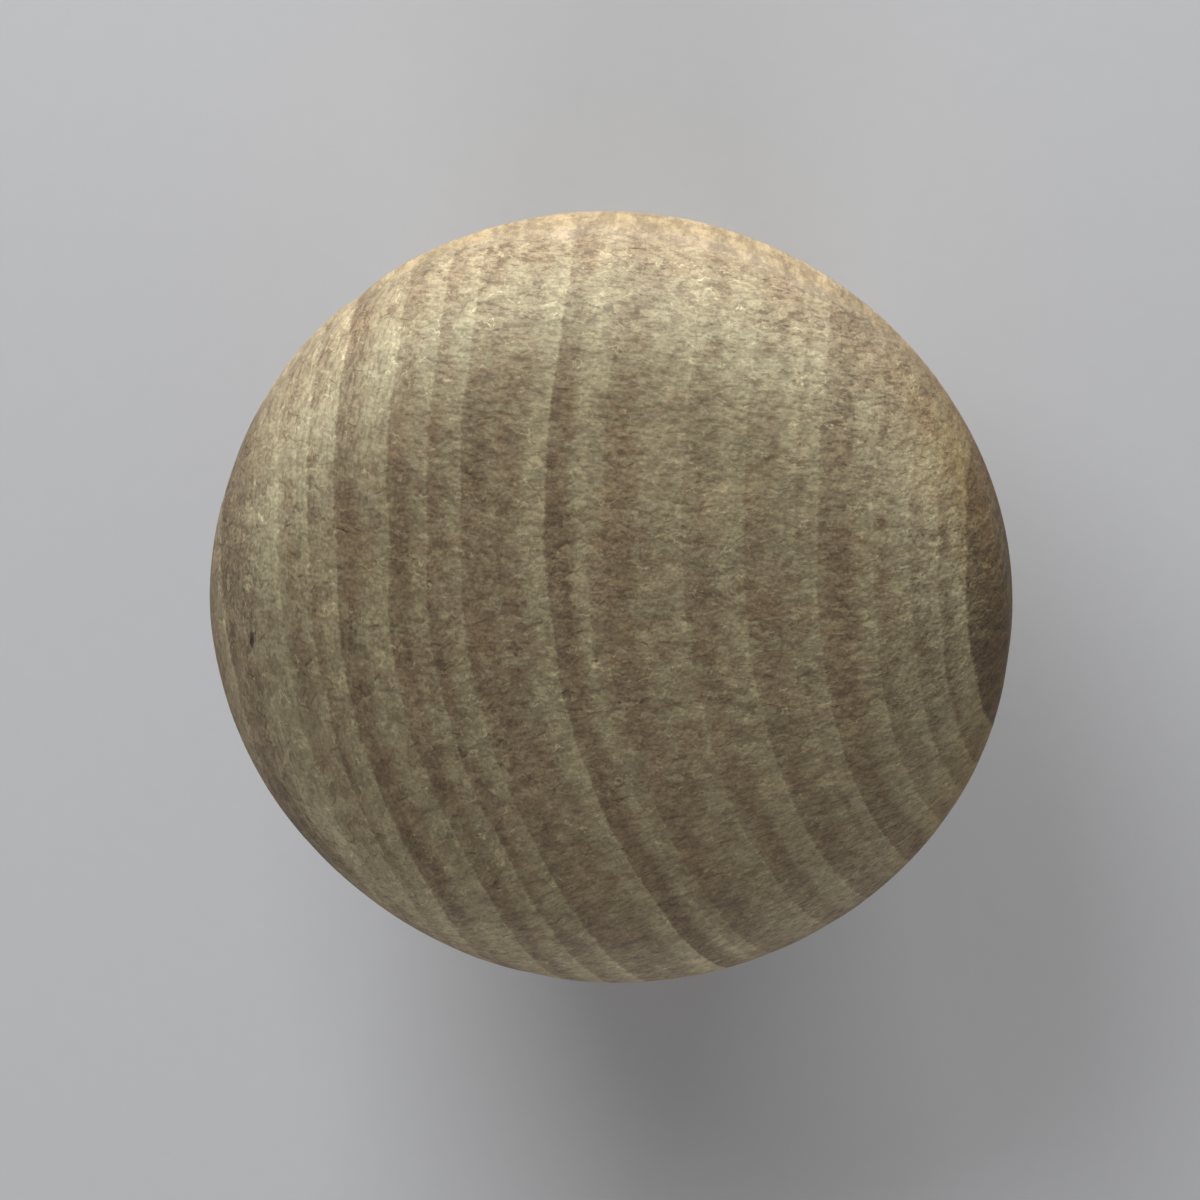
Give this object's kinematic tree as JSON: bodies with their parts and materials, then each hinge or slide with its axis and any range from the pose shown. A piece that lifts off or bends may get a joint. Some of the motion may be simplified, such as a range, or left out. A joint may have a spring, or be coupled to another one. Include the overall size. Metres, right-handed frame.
{
  "type": "wooden cabinet knob",
  "caption": "Turned wooden knob for a cabinet door or drawer, with a broad domed head, straight rim, finger cove, waisted neck and flared foot with a blind screw hole",
  "frame": {"origin": "centre of the foot's flat face, on the turning axis, where the knob meets the door or drawer front", "axes": "+Z runs out along the turning axis from the foot to the face; +X is the way across the growth rings"},
  "size_m": [0.035, 0.035, 0.027],
  "materials": {
    "wood": "satin"
  },
  "bodies": {
    "root": {"knob": "wood"}
  },
  "joints": []
}
